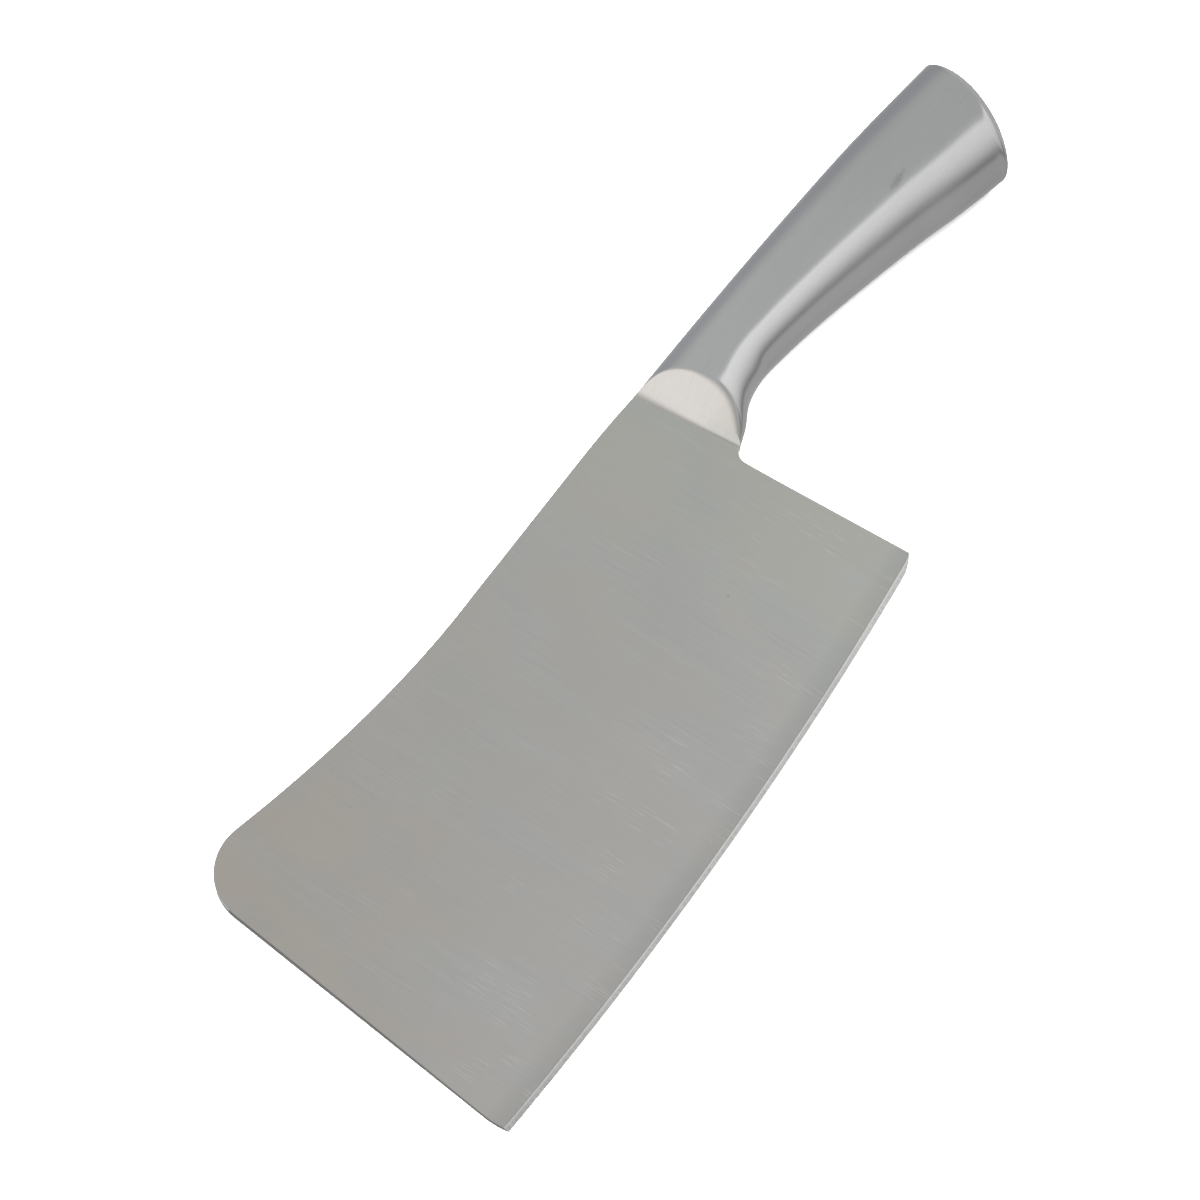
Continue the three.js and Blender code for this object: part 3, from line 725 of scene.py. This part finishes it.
class Arch:
    """The line where the facet meets the handle's round surface, ground over so that it's soft."""

    def __init__(self, thetas):
        over = np.linspace(0, 1, len(thetas))
        up = 1 - over
        front = FRONT_X[0] + (FRONT_X[1] - FRONT_X[0]) * up
        self.share = np.maximum(share_where(thetas, over_facet), share_where(thetas, reaches(front)))
        self.points = meet(handle_point(self.share, thetas)[:, None], thetas)[:, 0]
        self.x, self.y = behind(self.points), along_shoulders(self.points)
        self.round = handle_normal(self.share, thetas)
        self.flat = facet_normal(self.x, self.points[:, 1])
        fade = ease((self.x + 0.3) / 2.5) + 0.02
        self.inner = np.interp(over, *zip(*ARCH_INNER)) * fade
        self.outer = np.interp(over, *zip(*ARCH_OUTER)) * fade

    def soften(self, points, normals, facet):
        """Rounds over the corner: points within the rounding sink and turn towards the other surface."""
        where, shape = points.reshape(-1, 3), points.shape
        start, step = self.points[:-1], np.diff(self.points, axis=0)
        t = np.clip(((where[:, None] - start) * step).sum(-1) / (step**2).sum(-1), 0, 1)
        gap = np.linalg.norm(where[:, None] - start - step * t[..., None], axis=-1)
        near = gap.argmin(1)
        rows = np.arange(len(where))
        gap, t = gap[rows, near], t[rows, near][:, None]

        def here(values):
            values = values.reshape(len(values), -1)
            return values[near] * (1 - t) + values[near + 1] * t

        inner, outer = here(self.inner)[:, 0], here(self.outer)[:, 0]
        flat, curved = here(self.flat), here(self.round)
        share = (np.clip((inner if facet else outer) - gap, 0, None) / (inner + outer))[:, None]
        reach = 0.4 * (inner + outer)
        sink = np.linalg.norm(curved - flat, axis=1) * np.clip(reach - gap, 0, None) ** 2 / (4 * reach)
        turned = unit(normals.reshape(-1, 3) * (1 - share) + (curved if facet else flat) * share)
        sunk = where - unit(curved + flat) * sink[:, None]
        return sunk.reshape(shape), turned.reshape(shape)


def front_parts():
    """The skins of the blade weld and of the bolster."""
    near, far = ENDS
    u = np.linspace(0, 1, ARCH_POINTS)
    u = u - ARCH_CROWDING * np.sin(2 * math.pi * u)
    arch_thetas = near + (far - near) * u
    arch = Arch(arch_thetas)
    up_weld = ((arch.y - arch.y[-1]) / (arch.y[0] - arch.y[-1]))[:, None]
    front = FRONT_LOW + (FRONT_HIGH - FRONT_LOW) * up_weld
    behind_front = behind(front)
    split = np.clip((WELD_BACK - behind_front) / np.maximum(arch.x - behind_front, 1e-6), 0, 1)

    def facet_grid(pick, steps):
        flat = front[pick][:, None] + (arch.points[pick, None, :2] - front[pick][:, None]) * steps[..., None]
        x = behind(flat)
        points = np.concatenate([flat, facet_height(x, flat[..., 1])[0][..., None]], -1)
        points = np.where((steps >= 1 - 1e-9)[..., None], arch.points[pick][:, None], points)
        return arch.soften(points, facet_normal(x, flat[..., 1]), True)

    def round_grid(thetas, start, end, steps):
        share = start[:, None] + (end - start)[:, None] * steps[None]
        theta = np.broadcast_to(thetas[:, None], share.shape)
        return arch.soften(meet(handle_point(share, theta), thetas), handle_normal(share, theta), False)

    weld, bolster = Skin(), Skin()
    weld.grid(*facet_grid(np.arange(len(arch_thetas)), split[:, None] * np.linspace(0, 1, WELD_ROWS)[None]))
    pick = np.nonzero(arch.x >= WELD_BACK)[0]
    pick = np.arange(pick[0] - 1, pick[-1] + 2)
    rows = 1 - (1 - np.linspace(0, 1, FACET_ROWS)) ** 1.4
    bolster.grid(*facet_grid(pick, split[pick, None] + (1 - split[pick, None]) * rows[None]), 1)

    side_near, side_far = np.linspace(0, near, SIDE_POINTS)[:-1], np.linspace(far, math.pi, SIDE_POINTS)[1:]
    thetas = np.concatenate([side_near, arch_thetas, side_far])
    start = np.concatenate([share_where(side_near, reaches(FRONT_X[1])), arch.share,
                            share_where(side_far, reaches(FRONT_X[0]))])
    weld_end = np.maximum(share_where(thetas, reaches(WELD_BACK)), start)
    spine_half = thetas < math.pi / 2
    for side in (spine_half, ~spine_half):
        side = np.nonzero(side & (weld_end > start + 1e-9))[0]
        side = np.append(side, side[-1] + 1) if side[0] == 0 else np.insert(side, 0, side[0] - 1)
        weld.grid(*round_grid(thetas[side], start[side], weld_end[side], np.linspace(0, 1, WELD_SIDE_ROWS)), 1)
    rows = np.linspace(0, 1, BOLSTER_ROWS) ** 1.5
    bolster.grid(*round_grid(thetas, weld_end, np.full(len(thetas), NECK_WELD[0]), rows))
    weld.mirrored()
    bolster.mirrored()
    return weld, bolster


# ---- Shells, seams, rings and cap ---------------------------------------------------------------------------------

ROUND_POINTS, HALF_POINTS, SEAM_POINTS, SHELL_RINGS = 193, 97, 5, 150
DOME_ANGLES = np.radians([0, 4, 8, 12, 16, 20, 24, 28, 33, 38, 43, 48, 53, 58, 63, 67, 71, 75, 79, 82, 85, 87.5])
RIM_BLEND = math.radians(33)  # the rim's polish runs this far up the dome
BEFORE_RIM, AFTER_RIM = 1 - 2e-3, 0.03
SKIRT_END, SKIRT_GAP = 0.925, 0.3


def tube_piece(name, material, shares, first, last, rows):
    """A closed piece of the handle's wall, between two angles that may change along it. rows is how many points
    it has from one to the other."""
    skin = Skin()
    u = np.linspace(0, 1, rows)
    theta = first[:, None] + (last - first)[:, None] * u[None]
    share = np.broadcast_to(shares[:, None], theta.shape)
    outer, normals = handle_point(share, theta), handle_normal(share, theta)
    inner = handle_point(share, theta, WALL)
    skin.grid(outer, normals)
    skin.grid(inner, -normals)
    whole = bool(np.all(np.abs(last - first - 2 * math.pi) < 1e-6))
    for i in (0, -1):
        along = unit(outer[i] - outer[1 if i == 0 else -2])
        skin.grid(np.array([outer[i], inner[i]]), np.array([along, along]))
        if not whole:
            sideways = unit(outer[:, i] - outer[:, 1 if i == 0 else -2])
            skin.grid(np.array([outer[:, i], inner[:, i]]), np.array([sideways, sideways]))
    return skin.build(name, material)


def seam_angle(share):
    return np.arcsin(SEAM_HALF / half_thickness(share))


def dome_grid(start, inset, thetas):
    """The cap's surface from a station over the rim to the middle of the butt."""
    shares = np.linspace(start, 1, 12)
    points = [handle_point(s, thetas, inset) for s in shares]
    points += [handle_point(1.0, thetas, inset, a) for a in DOME_ANGLES[1:]]
    before = handle_normal(np.full_like(thetas, BEFORE_RIM), thetas)
    after = handle_normal(np.ones_like(thetas), thetas, np.full_like(thetas, AFTER_RIM))
    rim = unit(before + after)
    normals = []
    for s, w in zip(shares, ease(np.linspace(0, 1, len(shares)))):
        own = handle_normal(np.full_like(thetas, min(s, BEFORE_RIM)), thetas)
        normals.append(unit(own * (1 - w) + rim * w))
    for a in DOME_ANGLES[1:]:
        w = 1 - ease(a / RIM_BLEND)
        own = handle_normal(np.ones_like(thetas), thetas, np.full_like(thetas, a))
        normals.append(unit(own * (1 - w) + rim * w))
    hub = points[-1].mean(0)
    points.append(np.broadcast_to(hub, points[-1].shape))
    axis = unit(hub - handle_point(0.9, thetas, inset).mean(0))
    normals.append(np.broadcast_to(axis, points[-1].shape))
    return np.array(points), np.array(normals)


def butt_cap():
    skin = Skin()
    thetas = np.linspace(0, 2 * math.pi, ROUND_POINTS)
    outer, normals = dome_grid(BUTT_WELD[1], 0.0, thetas)
    skin.grid(outer, normals)
    inside = WALL + SKIRT_GAP
    collar = handle_point(np.array([BUTT_WELD[1], SKIRT_END])[:, None], thetas[None], inside)
    skin.grid(np.array([outer[0], collar[0]]), np.array([unit(outer[0] - outer[1])] * 2))
    skin.grid(collar, handle_normal(np.full((2, len(thetas)), 0.95), np.array([thetas, thetas])))
    hollow, hollow_normals = dome_grid(SKIRT_END, inside + REGISTER_WALL, thetas)
    skin.grid(np.array([collar[1], hollow[0]]), np.array([unit(outer[0] - outer[1])] * 2))
    skin.grid(hollow, -hollow_normals)
    return skin.build("butt_cap_fine", handle_steel)


pieces = {}
pieces["blade"] = [blade(), tang()]
weld_skin, bolster_skin = front_parts()
pieces["blade_weld"] = [weld_skin.build("blade_weld_fine", fillet_steel, handle_steel)]
pieces["bolster"] = [bolster_skin.build("bolster_fine", handle_steel, facet_steel)]

neck_shares = np.linspace(*NECK_WELD, 3)
butt_shares = np.linspace(*BUTT_WELD, 3)
shell_shares = np.linspace(NECK_WELD[1], BUTT_WELD[0], SHELL_RINGS)
whole = np.full(3, 2 * math.pi)
seam = seam_angle(shell_shares)
for node, shares in (("neck_weld", neck_shares), ("butt_weld", butt_shares)):
    pieces[node] = [tube_piece(node + "_fine", weld_steel, shares, whole * 0, whole, ROUND_POINTS)]
for node, material, first, last, rows in (
        ("handle_shell_left", handle_steel, seam, math.pi - seam, HALF_POINTS),
        ("handle_shell_right", handle_steel, math.pi + seam, 2 * math.pi - seam, HALF_POINTS),
        ("spine_seam_weld", weld_steel, -seam, seam, SEAM_POINTS),
        ("belly_seam_weld", weld_steel, math.pi - seam, math.pi + seam, SEAM_POINTS)):
    name = node.replace("seam_weld", "seam") + "_fine"
    pieces[node] = [tube_piece(name, material, shell_shares, first, last, rows)]
pieces["butt_cap"] = [butt_cap()]

for node, made in pieces.items():
    for piece in made:
        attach(piece, "root")
        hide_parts(node)


# ---- Floor ------------------------------------------------------------------------------------------------------

def floor():
    mesh = bpy.data.meshes.new("floor")
    size = 3.0
    mesh.from_pydata([(-size, -size, 0), (size, -size, 0), (size, size, 0), (-size, size, 0)], [], [(0, 1, 2, 3)])
    thing = bpy.data.objects.new("floor", mesh)
    thing.location.z = CAD_LOW.z
    bpy.context.scene.collection.objects.link(thing)
    material = bpy.data.materials.new("pale_floor")
    material.use_nodes = True
    n = Nodes(material.node_tree)
    place = n.add("ShaderNodeTexCoord").outputs["Object"]
    colour = n.mix_colour(n.noise(place, 9.0, 3.0), (0.90, 0.90, 0.90, 1), (0.93, 0.93, 0.93, 1))
    shader = n.add("ShaderNodeBsdfDiffuse", None, Color=colour)
    n.tree.links.new(shader.outputs[0], n.add("ShaderNodeOutputMaterial").inputs[0])
    mesh.materials.append(material)
    thing.visible_glossy = False


floor()

# ---- Light --------------------------------------------------------------------------------------------------------

scene = bpy.context.scene
scene.view_settings.view_transform = "Standard"
scene.view_settings.look = "None"
scene.view_settings.exposure = 0.0
scene.view_settings.gamma = 1.0


def axis(v):
    """A direction of the knife's own frame, as it lies on the floor."""
    return tuple(TURN.to_3x3() @ Vector(v))


STEEL_REFLECTANCE = 0.6


def grey(level, tint=(1.0, 1.0, 1.0)):
    """A light level, from the 8-bit grey that steel shows when it mirrors it."""
    linear = ((level / 255 + 0.055) / 1.055) ** 2.4
    return opaque(*(linear / STEEL_REFLECTANCE * t for t in tint))


def studio():
    """Soft boxes round the table, as broad bands of light: phi is the angle over the knife from edge to spine."""
    world = bpy.data.worlds.new("studio")
    scene.world = world
    world.use_nodes = True
    n = Nodes(world.node_tree)
    way = n.add("ShaderNodeTexCoord").outputs["Generated"]
    x, y, z = (n.dot(way, axis(v)) for v in ((1, 0, 0), (0, 1, 0), (0, 0, 1)))
    phi = n.math("ARCTAN2", y, z)
    # Towards the butt the bands on the edge's side come closer to the top.
    shrink = n.band(x, 0.2, 0.5, 1.0, 0.58)
    phi = n.math("ADD", n.math("MAXIMUM", phi, 0.0), n.math("MULTIPLY", n.math("MINIMUM", phi, 0.0), shrink))
    place = n.math("MULTIPLY_ADD", phi, 0.5 / math.pi, 0.5)
    ramp = n.add("ShaderNodeValToRGB", None, Fac=place)
    plain, cool, blue = (1.0, 1.0, 0.992), (0.985, 1.0, 0.995), (0.965, 0.99, 1.03)
    bands = [(-180, 145), (-110, 143), (-80, 147), (-60, 146), (-51, 128), (-47, 118), (-43, 127), (-36, 148),
             (-28, 172), (-20, 188), (-12, 202), (-1, 212), (3, 172), (7, 163), (20, 162), (45, 163), (58, 157),
             (68, 149), (80, 144), (105, 142), (130, 152), (180, 152)]
    elements = ramp.color_ramp.elements
    while len(elements) < len(bands):
        elements.new(0.5)
    for element, (angle, level) in zip(elements, bands):
        element.position = angle / 360 + 0.5
        element.color = grey(level, plain if angle < 3 else cool if angle < 60 else blue)
    # The blade's side mirrors an even overhead light, the facet a brighter one beyond the toe.
    over = n.math("MULTIPLY", n.band(x, 0.3, 0.02), n.band(y, 0.55, 0.3))
    overhead = n.mix_colour(n.band(y, -0.05, 0.12), grey(153), grey(161))
    colour = n.mix_colour(over, ramp.outputs[0], overhead)
    front = n.math("MULTIPLY", n.band(x, -0.05, -0.68), n.band(z, 0.22, 0.5))
    colour = n.mix_colour(front, colour, grey(219, (1.0, 0.988, 0.965)))
    colour = n.mix_colour(n.band(x, 0.72, 0.86), colour, grey(168))
    background = n.add("ShaderNodeBackground", None, Color=colour, Strength=1.0)
    n.tree.links.new(background.outputs[0], n.add("ShaderNodeOutputWorld").inputs[0])


def area(name, place, target, size, power):
    """A soft disc of light that steel doesn't mirror."""
    data = bpy.data.lights.new(name, "AREA")
    data.shape = "DISK"
    data.size = size
    data.energy = power
    thing = bpy.data.objects.new(name, data)
    thing.location = place
    thing.rotation_mode = "QUATERNION"
    thing.rotation_quaternion = (Vector(target) - Vector(place)).to_track_quat("-Z", "Y")
    thing.visible_glossy = False
    bpy.context.scene.collection.objects.link(thing)


studio()
area("overhead", (0.1, 0.2, 1.6), (0, 0, 0), 2.4, 160)

# ---- Camera -------------------------------------------------------------------------------------------------------

TILT = math.radians(24)
RIGHT, AWAY = Vector((0.5575, -0.8302, 0)), Vector((0.8302, 0.5575, 0))
TARGET, DISTANCE = Vector((-52.85, 6.1, 0)), 917.8


def look():
    data = bpy.data.cameras.new("camera")
    data.sensor_width = 36
    data.lens = 112.5
    data.dof.use_dof = False
    data.clip_start, data.clip_end = 0.01, 20
    camera = bpy.data.objects.new("camera", data)
    scene.collection.objects.link(camera)
    up = AWAY * math.cos(TILT) + Vector((0, 0, 1)) * math.sin(TILT)
    back = Vector((0, 0, 1)) * math.cos(TILT) - AWAY * math.sin(TILT)
    camera.rotation_mode = "QUATERNION"
    camera.rotation_quaternion = Matrix([axis(RIGHT), axis(up), axis(back)]).transposed().to_quaternion()
    camera.location = PLACE @ (TARGET + back * DISTANCE)
    return camera


scene.camera = look()
